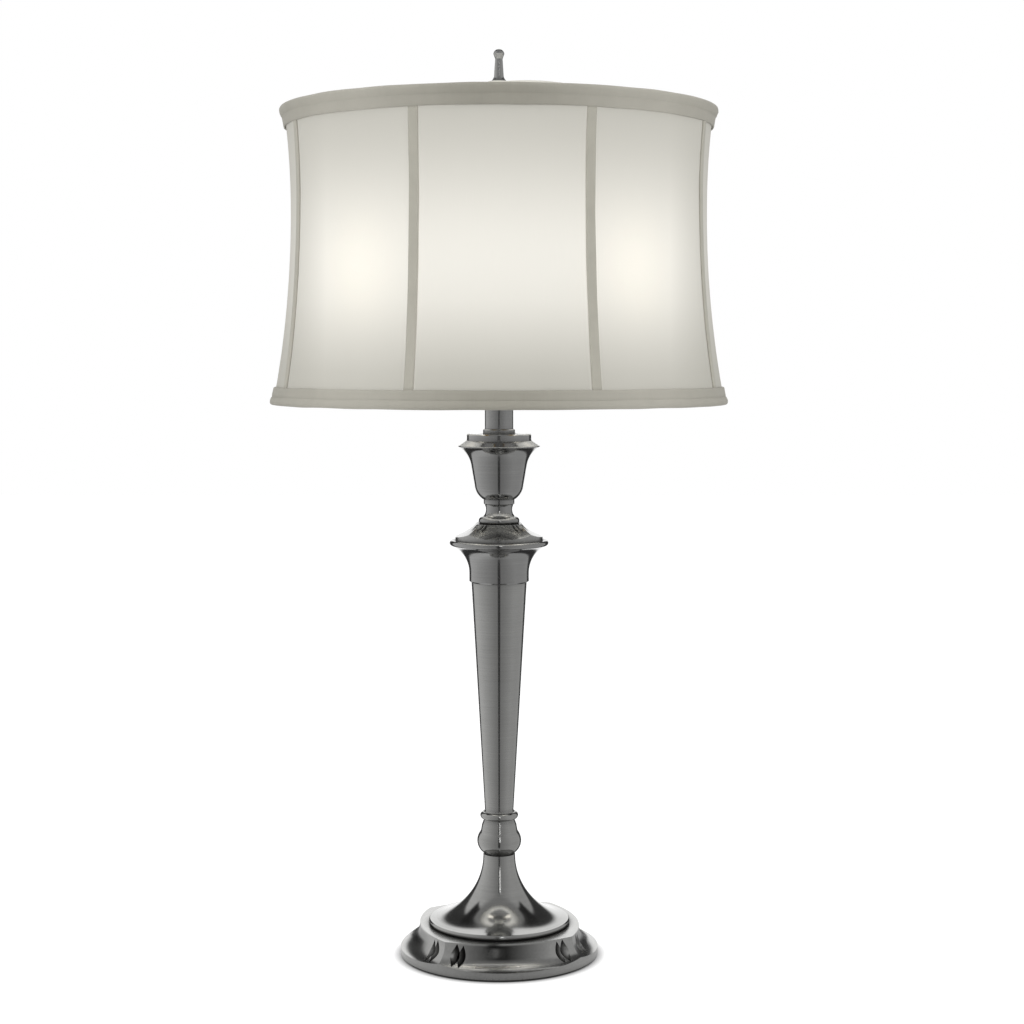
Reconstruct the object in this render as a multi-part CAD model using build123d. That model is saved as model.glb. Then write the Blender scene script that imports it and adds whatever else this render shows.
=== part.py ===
from build123d import *
import os
from math import acos, atan2, cos, hypot, pi, radians, sin, tan

# Candlestick lamp, in millimetres. The lamp's axis is Z, it stands on z = 0 and its front is towards -Y.
# Everything on the stem is threaded on one pipe, so each piece's height sets where the next one sits.

# ---- fits ----
slip = 0.15  # radial room of a piece that is slipped over the pipe
run = 0.08  # radial room of a piece that turns
seat_gap = 0.3  # room between soft or curved neighbours

# ---- threaded pipe and its nut ----
pipe_r = 5.0
pipe_bore_r = 3.4
pipe_tail = 1.0  # what the pipe shows under its nut
pipe_grip = 12.0  # how far the pipe goes into the light cluster
nut_across = 14.0
nut_h = 4.0
washer_r = 12.0
washer_h = 1.5

# ---- foot ----
felt_h = 2.0
felt_inset = 2.0
foot_r = 89.7
foot_h = 27.0
foot_turn = 9.0  # degrees; the foot is screwed on slightly round from square
foot_side = 71.9  # axis to the middle of a ledge side
foot_bow = 116.0  # radius of the bowed ledge sides
foot_rim_h = 6.0  # rim wall at the middle of a side
foot_cove_r = 20.5
cove_past = 0.8  # how far each cove runs on past the round that cuts the corners
foot_wall = 4.5
ledge_h = 5.0
weight_h = 12.5
weight_r = 60.0
channel_w = 12.0  # cord channel under the weight
channel_h = 8.0

# ---- cord outlet in the back of the foot ----
outlet_boss_r = 6.5
outlet_rise = 0.5  # boss over the rim wall
outlet_boss_end = 85.2  # axis to the boss's face
bushing_r = 4.0
bushing_bore_r = 3.0
bushing_flange_r = 5.6
bushing_flange_h = 1.8
bushing_l = 9.0

# ---- gouges in the foot and in the knop plate, cut in twos by a V-edged disc ----
foot_gouge_r = 10.6  # disc radius
foot_gouge_edge = 32.0  # half angle of the disc's edge, degrees
foot_gouge_spread = 10.0  # degrees from a corner to the crest between two gouges
foot_gouge_half = 2.1  # degrees from that crest to a gouge
foot_gouge_out = 5.6  # disc centre inside the rim radius
foot_gouge_drop = 9.2  # disc centre under the ledge
knop_gouge_r = 8.5
knop_gouge_edge = 28.0
knop_gouge_spread = 9.8
knop_gouge_half = 3.9
knop_gouge_out = 10.5
knop_gouge_drop = -2.1  # disc centre over the plate's top where it is negative

# ---- bell ----
bell_h = 63.6
bell_rim_r = 64.1
bell_rim_h = 4.8
bell_rim_round = 1.0
bell_step = 1.8  # flat step between the rim and the flare
bell_bow = 59.0  # radius of the flare
bell_neck_r = 14.5
bell_wall = 1.6

# ---- ball, bead ring and column ----
ball_h = 30.9
ball_r = 20.0
ball_mid = 12.6  # ball's widest place over its own foot
ball_groove = 1.5  # groove under the ball
ball_groove_h = 1.2
band_r = 16.6
band_z = 21.6
band_top_r = 14.2
bead_h = 9.2
bead_r = 17.2
bead_mid = 4.6
bead_half = 3.4
column_h = 208.1
column_foot_r = 13.0
column_top_r = 25.0
column_wall = 1.6

# ---- capital and knop plate ----
capital_h = 37.8
capital_r = 26.9
capital_lip = 1.0
capital_flare = 8.3  # height over the capital's foot where it begins to flare
flange_r = 44.6
flange_h = 5.0
flange_round = 2.2
flange_top_r = 43.2
capital_wall = 2.0
knop_h = 15.0
knop_r = 39.3
knop_side = 20.6
knop_bow = 120.0
knop_rim_h = 2.8
knop_cove_r = 42.0
knop_turn = 2.0  # degrees; set slightly round from square

# ---- neck and candle cup ----
neck_h = 22.0
neck_bead_r = 18.4
neck_bead_h = 6.4
neck_r = 11.9
neck_waist = 13.4  # the neck's narrowest place over its foot
neck_collar_r = 13.9
neck_collar_h = 4.2
neck_step = 0.9  # edges of the bead and of the collar
cup_h = 52.4
cup_foot_r = 15.2
cup_foot_bow = 18.0
cup_hip_r = 21.9
cup_hip = 12.5  # heights over the cup's foot
cup_body_r = 25.0
cup_waist = 30.4
cup_lip_r = 36.7
cup_lip_drop = 5.0
cup_lip_round = 0.7
cup_seat = 0.4  # cup's rim outside the cap disc
cup_wall = 2.2
cap_r = 29.0
cap_h = 6.2
cap_step = 1.0

# ---- candle tube ----
tube_r = 12.8
tube_wall = 0.8
tube_l = 109.5
tube_ring_w = 1.4
tube_ring_h = 4.0
tube_top_h = 5.0
tube_top_lip = 1.4

# ---- light cluster ----
cluster_foot_r = 10.0
cluster_foot_h = 14.0
cluster_r = 17.0
cluster_h = 34.0
cluster_top_r = 8.0
cluster_top_h = 8.0
arm_r = 8.5
arm_reach = 20.0

# ---- sockets; lengths run outwards from the arm's end ----
screw_r = 13.0  # lamp base
screw_wall = 0.5
liner_wall = 0.9
shell_wall = 0.8
skirt_gap = 0.25
socket_cap_l = 16.0
socket_cap_wall = 1.0
core_l = 30.0
shell_lap = 6.0  # how far the cap reaches over the shell

# ---- bulbs ----
bulb_base_l = 24.0
bulb_base_show = 0.6  # lamp base left showing at the socket's mouth
bulb_r = 30.0
bulb_l = 84.0  # glass beyond the screw base
bulb_wall = 0.9
bulb_neck_r = 13.6
bulb_neck_l = 6.0

# ---- pull chains ----
guide_r = 3.6
guide_wall = 1.0
guide_l = 9.0
guide_inset = 1.5  # horn's head past the end of the socket cap
guide_flare = 1.4
chain_r = 1.5
chain_room = 0.45
chain_l = 68.0
bell_pull_r = 4.2
bell_pull_l = 12.0

# ---- riser, rest and washer ----
rod_r = 3.1
riser_grip = 7.0  # how far the rod goes into the cluster
rest_r = 13.0
rest_h = 3.0
rest_neck_r = 7.5
hub_washer_r = 9.0
hub_washer_h = 1.0

# ---- shade ----
shade_top_z = 760.0
shade_h = 259.2
shade_turn = 1.3  # degrees; the shade is set slightly round from square
panel_count = 8
shade_top_r = 191.3
shade_shoulder_r = 188.1
shade_shoulder = 17.0  # under the top edge
shade_waist_r = 185.7
shade_waist = 78.5
shade_lower_r = 191.1
shade_lower = 184.6
shade_bottom_r = 201.3
cover_t = 0.7
liner_t = 0.6
rib_r = 1.2
hoop_r = 1.7
hoop_inset = 4.0  # hoop centre inside the cover's end
frame_gap = 0.15  # room between wires and fabric
trim_h = 17.0
bottom_trim_h = 15.5
trim_t = 2.6
trim_edge_t = 1.2
trim_roll = 1.0
tape_w = 9.0
tape_t = 0.8
arm_count = 4
spider_arm_r = 1.5
hub_r = 9.5
hub_h = 4.0
hub_rise = 21.1  # hub over the shade's top edge
hub_room = 0.5  # the hub's hole drops loosely over the rod
arm_rise = 0.62  # share of the arm's rise reached at its middle

# ---- finial ----
tip_l = 4.6  # how far the rod goes into the finial's foot
finial_gap = 0.1
finial_h = 28.5
finial_foot_r = 6.2
finial_foot_h = 1.3
finial_flare_h = 5.0
finial_flare_r = 6.0
finial_shaft_r = 4.25
finial_neck_r = 3.3
finial_neck = 19.8
finial_ball_r = 4.9
finial_ball = 24.1

# ---- heights that follow ----
foot_z = felt_h
ledge_z = foot_z + foot_h
ball_z = ledge_z + bell_h
bead_z = ball_z + ball_h
column_z = bead_z + bead_h
capital_z = column_z + column_h
knop_z = capital_z + capital_h
neck_z = knop_z + knop_h
cup_z = neck_z + neck_h
cap_z = cup_z + cup_h
tube_z = cap_z + cap_h
tube_top_z = tube_z + tube_l
cluster_z = tube_top_z + tube_top_h
arm_z = cluster_z + cluster_foot_h + cluster_h / 2
riser_z = cluster_z + cluster_foot_h + cluster_h + cluster_top_h
weight_top_z = ledge_z - ledge_h
weight_z = weight_top_z - weight_h
washer_z = weight_z - washer_h
nut_z = washer_z - nut_h
pipe_z = nut_z - pipe_tail
hole_r = pipe_r + slip
outlet_z = foot_z + foot_rim_h + outlet_boss_r + outlet_rise

# ---- radii that follow, from the lamp base outwards ----
thread_in_r = screw_r + run
thread_out_r = thread_in_r + screw_wall
liner_in_r = thread_out_r + skirt_gap
liner_out_r = liner_in_r + liner_wall
shell_in_r = liner_out_r + skirt_gap
shell_out_r = shell_in_r + shell_wall
socket_cap_in_r = shell_out_r + skirt_gap
socket_cap_out_r = socket_cap_in_r + socket_cap_wall

# ---- places along a socket, from the lamp's axis ----
core_x = arm_reach + socket_cap_wall
shell_x = arm_reach + socket_cap_l - shell_lap
core_end_x = core_x + core_l
base_x = core_end_x + seat_gap
socket_end_x = base_x + bulb_base_l - bulb_base_show
guide_x = arm_reach + socket_cap_l + guide_r + guide_inset
chain_hole_r = chain_r + chain_room
chain_top = arm_z - liner_in_r + 3.0
guide_top = arm_z - shell_out_r

# ---- shade heights and the stack over the riser ----
shade_z = shade_top_z - shade_h
hoop_top_z = shade_top_z - hoop_inset
hoop_bottom_z = shade_z + hoop_inset
hub_z = shade_top_z + hub_rise
hub_washer_z = hub_z - hub_washer_h
rest_z = hub_washer_z - rest_h
finial_z = hub_z + hub_h + finial_gap


def spin(face, arc=360):
    """Turn a face, drawn as radius across and height up, about the lamp's axis."""
    return revolve(Plane.XZ * face, Axis.Z, arc)


def outline(*runs):
    """Closed face from lines and curves that run end to end, its last end joined to its first start."""
    edges = [edge for run in runs for edge in run.edges()]
    return make_face([*edges, Line(runs[-1] @ 1, runs[0] @ 0)])


def disc(radius, z, height, hole=0.0):
    """Round plate from height z upwards, with a hole on its axis where one is given."""
    solid = Pos(0, 0, z) * extrude(Circle(radius), height)
    if hole:
        solid -= Pos(0, 0, z - 1) * extrude(Circle(hole), height + 2)
    return solid


def hollow(face, wall):
    """What is left of a straight-sided turned face, drawn beside its axis, when its inside is cut back."""
    return face - offset(face + mirror(face, Plane.YZ), -wall, kind=Kind.INTERSECTION)


def on_pipe(solid):
    """Open a turned piece along its axis so that it slips over the pipe."""
    return solid - disc(hole_r, 0, riser_z)


def coved_block(z, height, side, bow, reach, rim_h, cove_r):
    """Block with four concave sides that meet in mitres. Each side is turned about an axis of its own,
    set back so that the side bows outwards in plan, and the block is what the four turnings share."""
    edge = bow + reach + cove_past
    profile = outline(
        Polyline((0, z + height), (0, z), (edge + reach, z), (edge + reach, z + rim_h), (edge, z + rim_h)),
        RadiusArc((edge, z + rim_h), (bow, z + height), cove_r),
    )
    blank = Pos(side - bow, 0, 0) * spin(profile)
    block = blank
    for quarter in (1, 2, 3):
        block &= Rot(0, 0, 90 * quarter) * blank
    return block


def gouged(block, disc_r, edge, spread, half_step, out, z):
    """Cut two gouges, with a sharp crest between them, to each side of the block's four corners. The V-edged
    disc that cuts them stands in the radial plane, with its centre this far out and at this height."""
    half = disc_r * tan(radians(edge))
    diamond = make_face(Polyline((0, -half), (disc_r, 0), (0, half), (0, -half)))
    cutter = Pos(out, 0, z) * revolve(Plane.XY * diamond, Axis.Y)
    for corner in range(4):
        for turn in (-spread - half_step, -spread + half_step, spread - half_step, spread + half_step):
            block -= Rot(0, 0, 45 + 90 * corner + turn) * cutter
    return block


# ---- foot ----


def felt_pad():
    return disc(foot_r - felt_inset, 0, felt_h)


def foot_casting():
    reach = foot_r - foot_side
    body = coved_block(foot_z, foot_h, foot_side, foot_bow, reach, foot_rim_h, foot_cove_r)
    body &= disc(foot_r, foot_z, foot_h)
    out = foot_r - foot_gouge_out
    high = ledge_z - foot_gouge_drop
    body = gouged(body, foot_gouge_r, foot_gouge_edge, foot_gouge_spread, foot_gouge_half, out, high)
    boss_l = outlet_boss_end - (foot_side - foot_wall)
    boss = Pos(outlet_boss_end, 0, outlet_z) * Rot(0, -90, 0) * extrude(Circle(outlet_boss_r), boss_l)
    inside = coved_block(
        foot_z,
        foot_h - ledge_h,
        foot_side - foot_wall,
        foot_bow - foot_wall,
        reach,
        foot_rim_h - foot_wall,
        foot_cove_r + foot_wall,
    )
    inside &= disc(foot_r - foot_wall, foot_z, foot_h)
    body = body + (boss - disc(foot_side - foot_wall, 0, ledge_z)) - (inside - boss)
    drill = Pos(outlet_boss_end + 1, 0, outlet_z) * Rot(0, -90, 0) * extrude(Circle(bushing_r + 0.05), boss_l + 20)
    return Rot(0, 0, 90 + foot_turn) * (on_pipe(body) - drill)


def foot_weight():
    channel = Pos(weight_r / 2, 0, weight_z + channel_h / 2) * Box(weight_r + 1, channel_w, channel_h)
    return Rot(0, 0, 90 + foot_turn) * (disc(weight_r, weight_z, weight_h, hole_r) - channel)


def cord_bushing():
    barrel_x = outlet_boss_end + bushing_flange_h
    barrel = extrude(Circle(bushing_r), bushing_l) + extrude(Circle(bushing_flange_r), bushing_flange_h)
    barrel = fillet(barrel.faces().sort_by(Axis.Z)[0].outer_wire().edges(), 0.6)
    barrel -= extrude(Circle(bushing_bore_r), bushing_l)
    return Rot(0, 0, 90 + foot_turn) * Pos(barrel_x, 0, outlet_z) * Rot(0, -90, 0) * barrel


def pipe_washer():
    return disc(washer_r, washer_z, washer_h, hole_r)


def pipe_nut():
    nut = extrude(RegularPolygon(nut_across / 2, 6, major_radius=False), nut_h)
    return Pos(0, 0, nut_z) * nut - disc(hole_r, nut_z - 1, nut_h + 2)


def lamp_pipe():
    return disc(pipe_r, pipe_z, cluster_z + pipe_grip - pipe_z, pipe_bore_r)


# ---- stem ----


def bell_flare(inset):
    """Bell's flare from its rim up to its neck, moved in by the inset."""
    low = (bell_rim_r - bell_step - inset, ledge_z + bell_rim_h - inset)
    high = (bell_neck_r - inset, ball_z - inset)
    return RadiusArc(low, high, bell_bow + inset)


def bell():
    rim = ledge_z + bell_rim_h
    flare = bell_flare(0)
    face = outline(
        Line((0, ledge_z), (bell_rim_r - bell_rim_round, ledge_z)),
        ThreePointArc(
            (bell_rim_r - bell_rim_round, ledge_z),
            (bell_rim_r, ledge_z + bell_rim_h / 2),
            (bell_rim_r - bell_rim_round, rim),
        ),
        Line((bell_rim_r - bell_rim_round, rim), flare @ 0),
        flare,
        Line(flare @ 1, (0, ball_z)),
    )
    flare = bell_flare(bell_wall)
    inside = outline(
        Polyline((0, ledge_z), (bell_rim_r - bell_step - bell_wall, ledge_z), flare @ 0),
        flare,
        Line(flare @ 1, (0, ball_z - bell_wall)),
    )
    return on_pipe(spin(face) - spin(inside))


def neck_ball():
    z = ball_z
    groove_r = bell_neck_r - ball_groove
    face = outline(
        Polyline((0, z), (groove_r, z), (groove_r, z + ball_groove_h), (bell_neck_r, z + ball_groove_h)),
        ThreePointArc((bell_neck_r, z + ball_groove_h), (ball_r, z + ball_mid), (band_r + 0.5, z + band_z - 1)),
        Polyline((band_r + 0.5, z + band_z - 1), (band_r, z + band_z), (band_r - 0.9, z + ball_h - 4)),
        Polyline((band_r - 0.9, z + ball_h - 4), (band_top_r, z + ball_h), (0, z + ball_h)),
    )
    return on_pipe(spin(face))


def bead_ring():
    low = bead_z + bead_mid - bead_half
    high = bead_z + bead_mid + bead_half
    face = outline(
        Polyline((0, bead_z), (band_top_r, bead_z), (band_top_r, low)),
        ThreePointArc((band_top_r, low), (bead_r, bead_z + bead_mid), (band_top_r - 0.3, high)),
        Polyline((band_top_r - 0.3, high), (column_foot_r, column_z), (0, column_z)),
    )
    return on_pipe(spin(face))


def column():
    face = outline(
        Polyline((0, column_z), (column_foot_r, column_z), (column_top_r, capital_z), (0, capital_z)),
    )
    return on_pipe(spin(hollow(face, column_wall)))


def capital():
    under = knop_z - flange_h
    flare_z = capital_z + capital_flare
    edge_r = flange_r - flange_round
    face = outline(
        Polyline((0, capital_z), (capital_r - capital_lip, capital_z), (capital_r, capital_z + capital_lip)),
        Line((capital_r, capital_z + capital_lip), (capital_r, flare_z)),
        TangentArc((capital_r, flare_z), (edge_r, under), tangent=(0, 1)),
        ThreePointArc((edge_r, under), (flange_r, under + flange_h / 2), (flange_top_r, knop_z)),
        Line((flange_top_r, knop_z), (0, knop_z)),
    )
    inside = disc(capital_r - capital_wall, capital_z + capital_wall, capital_h - flange_h - 2 * capital_wall)
    return on_pipe(spin(face) - inside)


def knop_plate():
    body = coved_block(knop_z, knop_h, knop_side, knop_bow, knop_r - knop_side, knop_rim_h, knop_cove_r)
    body &= disc(knop_r, knop_z, knop_h)
    out = knop_r - knop_gouge_out
    high = neck_z - knop_gouge_drop
    body = gouged(body, knop_gouge_r, knop_gouge_edge, knop_gouge_spread, knop_gouge_half, out, high)
    return Rot(0, 0, knop_turn) * on_pipe(body)


def cup_neck():
    """Round bead at the foot, a waist over it and a collar under the cup."""
    collar = cup_z - neck_collar_h
    bead_top = neck_z + neck_bead_h
    bead_top_r = neck_bead_r - neck_bead_h / 2
    collar_foot_r = neck_collar_r - neck_step
    waist_foot_r = bead_top_r - neck_step
    face = outline(
        Line((0, neck_z), (neck_bead_r - neck_step, neck_z)),
        ThreePointArc(
            (neck_bead_r - neck_step, neck_z),
            (neck_bead_r, neck_z + 0.4 * neck_bead_h),
            (bead_top_r, bead_top),
        ),
        Line((bead_top_r, bead_top), (waist_foot_r, bead_top)),
        ThreePointArc((waist_foot_r, bead_top), (neck_r, neck_z + neck_waist), (collar_foot_r, collar - neck_step)),
        Polyline((collar_foot_r, collar - neck_step), (neck_collar_r, collar), (neck_collar_r, cup_z), (0, cup_z)),
    )
    return on_pipe(spin(face))


def cup_side(inset):
    """Side of the cup, moved in by the inset: rounded foot, straight body and the flare under its lip."""
    foot = (cup_foot_r - inset, cup_z + inset)
    hip = (cup_hip_r - inset, cup_z + cup_hip)
    waist = (cup_body_r - inset, cup_z + cup_waist)
    end = (cup_lip_r - cup_lip_round - inset, cap_z - cup_lip_drop - cup_lip_round)
    return [
        RadiusArc(foot, hip, -cup_foot_bow),
        Line(hip, waist),
        TangentArc(waist, end, tangent=(cup_body_r - cup_hip_r, cup_waist - cup_hip)),
    ]


def candle_cup():
    lip_z = cap_z - cup_lip_drop
    side = cup_side(0)
    face = outline(
        Line((0, cup_z), side[0] @ 0),
        *side,
        ThreePointArc(
            side[-1] @ 1,
            (cup_lip_r, lip_z),
            (cup_lip_r - cup_lip_round, lip_z + cup_lip_round),
        ),
        Line((cup_lip_r - cup_lip_round, lip_z + cup_lip_round), (cap_r + cup_seat, cap_z)),
        Line((cap_r + cup_seat, cap_z), (0, cap_z)),
    )
    side = cup_side(cup_wall)
    throat = (cap_r - cup_wall, cap_z - cup_lip_drop - cup_lip_round)
    inside = outline(
        Line((0, cup_z + cup_wall), side[0] @ 0),
        side[0],
        side[1],
        Polyline(side[1] @ 1, throat, (cap_r - cup_wall, cap_z), (0, cap_z)),
    )
    return on_pipe(spin(face) - spin(inside))


def cup_cap():
    plate = chamfer(extrude(Circle(cap_r), cap_h).faces().sort_by(Axis.Z)[-1].edges(), cap_step)
    return Pos(0, 0, cap_z) * plate - disc(hole_r, cap_z - 1, cap_h + 2)


def candle_tube():
    return disc(tube_r, tube_z, tube_l, tube_r - tube_wall)


def tube_ring():
    outer = tube_r + slip + tube_ring_w
    ring = chamfer(extrude(Circle(outer), tube_ring_h).faces().sort_by(Axis.Z)[-1].edges(), 0.6)
    return Pos(0, 0, tube_z) * ring - disc(tube_r + slip, tube_z - 1, tube_ring_h + 2)


def tube_top():
    lid = disc(tube_r + tube_top_lip, tube_top_z, tube_top_h, hole_r)
    lid = chamfer(lid.faces().sort_by(Axis.Z)[-1].outer_wire().edges(), tube_top_lip)
    plug = disc(tube_r - tube_wall - slip, tube_top_z - tube_top_h, tube_top_h, hole_r)
    return lid + plug


# ---- light cluster and sockets ----


def cluster_body():
    z = cluster_z
    shoulder = z + cluster_foot_h
    top = shoulder + cluster_h
    face = outline(
        Polyline((0, z), (cluster_foot_r, z), (cluster_foot_r, shoulder - 4), (cluster_r - 3, shoulder)),
        ThreePointArc((cluster_r - 3, shoulder), (cluster_r, arm_z), (cluster_r - 3, top)),
        Polyline((cluster_r - 3, top), (cluster_top_r, top + 3), (cluster_top_r, riser_z), (0, riser_z)),
    )
    arms = Pos(-arm_reach, 0, arm_z) * Rot(0, 90, 0) * extrude(Circle(arm_r), 2 * arm_reach)
    body = spin(face) + arms
    body -= disc(hole_r, z - 1, pipe_grip + 1)
    return body - disc(rod_r + slip, riser_z - riser_grip, riser_grip + 1)


def lying(face, side):
    """Turn a face, drawn as distance out from the lamp's axis across and radius up, about a socket's axis."""
    solid = revolve(Plane.XZ * face, Axis.X)
    return Pos(0, 0, arm_z) * Rot(0, 0, 0 if side > 0 else 180) * solid


def chain_hole(side, top, bottom):
    """Upright hole that lets a pull chain through."""
    return Pos(side * guide_x, 0, bottom) * extrude(Circle(chain_hole_r), top - bottom)


def socket_cap(side):
    """Cup that closes the socket's inner end and laps over its shell."""
    end = arm_reach + socket_cap_l
    outer = outline(
        Polyline((arm_reach, 0), (arm_reach, arm_r), (arm_reach + 5, socket_cap_out_r), (end, socket_cap_out_r)),
        Polyline((end, socket_cap_out_r), (end, socket_cap_in_r), (shell_x, socket_cap_in_r)),
        Polyline((shell_x, socket_cap_in_r), (arm_reach + 5 + socket_cap_wall, socket_cap_in_r), (core_x, arm_r)),
        Line((core_x, arm_r), (core_x, 0)),
    )
    return lying(outer, side)


def socket_core(side):
    """Moulded inside of the socket, with the centre contact on its face."""
    x = arm_reach + 5 + socket_cap_wall
    face = outline(
        Polyline((core_x, 0), (core_x, arm_r - 0.5), (x, liner_in_r - skirt_gap), (core_end_x, liner_in_r - skirt_gap)),
        Line((core_end_x, liner_in_r - skirt_gap), (core_end_x, 0)),
    )
    return lying(face, side) - chain_hole(side, chain_top + 1, arm_z - 2 * shell_out_r)


def sleeve(x, end, inner, outer, side):
    return lying(outline(Polyline((x, inner), (end, inner), (end, outer), (x, outer))), side)


def socket_screw_shell(side):
    return sleeve(core_end_x, socket_end_x - 1.5, thread_in_r, thread_out_r, side)


def socket_liner(side):
    tube = sleeve(shell_x, socket_end_x - 0.5, liner_in_r, liner_out_r, side)
    return tube - chain_hole(side, arm_z, arm_z - 2 * shell_out_r)


def socket_shell(side):
    tube = sleeve(shell_x, socket_end_x, shell_in_r, shell_out_r, side)
    return tube - chain_hole(side, arm_z, arm_z - 2 * shell_out_r)


def chain_guide(side):
    """Small horn under the shell that the pull chain comes out of."""
    low = guide_top - guide_l
    inner = chain_hole_r
    face = outline(
        Polyline((inner, guide_top), (guide_r, guide_top), (inner + guide_wall, guide_top - 3)),
        Line((inner + guide_wall, guide_top - 3), (inner + guide_wall, low + guide_flare)),
        Polyline((inner + guide_wall, low + guide_flare), (inner + guide_flare + guide_wall, low)),
        Polyline((inner + guide_flare + guide_wall, low), (inner + guide_flare, low), (inner, low + guide_flare)),
    )
    horn = Pos(side * guide_x, 0, 0) * spin(face)
    return horn


def pull_chain(side):
    """Chain drawn as a plain rod, with its bell-shaped pull at the end."""
    low = chain_top - chain_l
    face = outline(
        Polyline((0, chain_top), (0, low), (bell_pull_r, low), (bell_pull_r, low + 2)),
        RadiusArc((bell_pull_r, low + 2), (chain_r, low + bell_pull_l), 14),
        Line((chain_r, low + bell_pull_l), (chain_r, chain_top)),
    )
    return Pos(side * guide_x, 0, 0) * spin(face)


# ---- bulbs ----


def bulb_base(side):
    tip = base_x
    face = outline(
        Polyline((tip, 0), (tip, 4.5), (tip + 2.5, screw_r - 3.5), (tip + 5, screw_r), (tip + bulb_base_l, screw_r)),
        Line((tip + bulb_base_l, screw_r), (tip + bulb_base_l, 0)),
    )
    return lying(face, side)


def bulb_face(inset):
    """Bulb's half section: neck, cone and ball, moved in by the inset."""
    x = base_x + bulb_base_l
    ball_x = x + bulb_l - bulb_r
    radius = bulb_r - inset
    neck = (x + bulb_neck_l, bulb_neck_r - inset)
    reach = ball_x - neck[0]
    cone = atan2(neck[1], reach) + acos(radius / hypot(reach, neck[1]))
    touch = (ball_x - radius * cos(cone), radius * sin(cone))
    return outline(
        Polyline((x + inset, 0), (x + inset, screw_r - inset), neck, touch),
        RadiusArc(touch, (ball_x + radius, 0), radius),
    )


def bulb_glass(side):
    return lying(bulb_face(0) - bulb_face(bulb_wall), side)


# ---- what carries the shade ----


def riser_rod():
    foot = riser_z - riser_grip
    return disc(rod_r, foot, finial_z + tip_l - foot)


def shade_rest():
    face = outline(
        Polyline((rod_r + slip, rest_z), (rest_neck_r, rest_z), (rest_r, rest_z + 1), (rest_r, hub_washer_z)),
        Line((rest_r, hub_washer_z), (rod_r + slip, hub_washer_z)),
    )
    return spin(face)


def hub_washer():
    return disc(hub_washer_r, hub_washer_z, hub_washer_h, rod_r + run)


# ---- shade ----


def cover_line(inset, top, bottom):
    """The shade's curved side between two heights, moved in by the inset: a long waisted curve and a short
    flare under the top edge."""
    shoulder = (shade_shoulder_r - inset, shade_top_z - shade_shoulder)
    waist = (shade_waist_r - inset, shade_top_z - shade_waist)
    low = (shade_lower_r - inset, shade_top_z - shade_lower)
    skirt = ThreePointArc((shade_bottom_r - inset, shade_z), low, waist)
    chest = TangentArc(waist, shoulder, tangent=skirt % 1)
    flare = TangentArc(shoulder, (shade_top_r - inset, shade_top_z), tangent=chest % 1)
    band = Pos(0, (top + bottom) / 2) * Rectangle(4 * shade_bottom_r, top - bottom)
    return (Curve([skirt, chest, flare]) & band).edges().sort_by(Axis.Y)


def cover_radius(z):
    """Outer radius of the shade's cover at a height."""
    return cover_line(0, z + 0.05, z - 0.05)[0].center().X


def cover_band(inset, thick, top, bottom):
    """Face between two copies of the shade's curved side."""
    outer = cover_line(inset, top, bottom)
    inner = cover_line(inset + thick, top, bottom)
    ends = [Line(outer[0] @ 0, inner[0] @ 0), Line(outer[-1] @ 1, inner[-1] @ 1)]
    return make_face([*outer, *inner, *ends])


def shade_cover():
    return spin(cover_band(0, cover_t, shade_top_z - trim_roll, shade_z + trim_roll))


def liner_inset():
    return cover_t + 2 * rib_r + 2 * frame_gap


def shade_liner():
    room = hoop_r + frame_gap
    return spin(cover_band(liner_inset(), liner_t, hoop_top_z - room, hoop_bottom_z + room))


def hoop(z):
    """Round wire inside the cover's end."""
    radius = cover_radius(z) - cover_t - frame_gap - hoop_r - 0.3
    return Pos(0, 0, z) * Torus(radius, hoop_r), radius


def shade_top_hoop():
    return hoop(hoop_top_z)[0]


def shade_hub():
    return disc(hub_r, hub_z, hub_h, rod_r + hub_room)


def shade_spider():
    """The arms that reach from the hub's side down to the top hoop."""
    ring, radius = hoop(hoop_top_z)
    start = (radius, hoop_top_z)
    end = (hub_r - 2, hub_z + hub_h / 2)
    middle = ((start[0] + end[0]) / 2, start[1] + arm_rise * (end[1] - start[1]))
    path = Plane.XZ * ThreePointArc(start, middle, end)
    arm = sweep(Plane(origin=path @ 0, z_dir=path % 0) * Circle(spider_arm_r), path)
    arm = arm - ring - disc(hub_r, hub_z, hub_h)
    return Compound([Rot(0, 0, rib_angle(2 * step)) * arm.solid() for step in range(arm_count)])


def shade_bottom_hoop():
    return hoop(hoop_bottom_z)[0]


def rib_angle(step):
    return -90 + shade_turn + 360 / panel_count * (step + 0.5)


def shade_ribs():
    room = hoop_r + frame_gap
    line = cover_line(cover_t + rib_r + frame_gap, hoop_top_z - room, hoop_bottom_z + room)
    path = Plane.XZ * Wire(line)
    rib = sweep(Plane(origin=path @ 0, z_dir=path % 0) * Circle(rib_r), path)
    return Compound([Rot(0, 0, rib_angle(step)) * rib.solid() for step in range(panel_count)])


def rib_tapes():
    top = shade_top_z - trim_h
    bottom = shade_z + bottom_trim_h
    arc = 180 / pi * tape_w / shade_waist_r
    strip = spin(cover_band(-tape_t - 0.05, tape_t, top - 0.1, bottom + 0.1), arc)
    return Compound([Rot(0, 0, rib_angle(step) - arc / 2) * strip.solid() for step in range(panel_count)])


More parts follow.
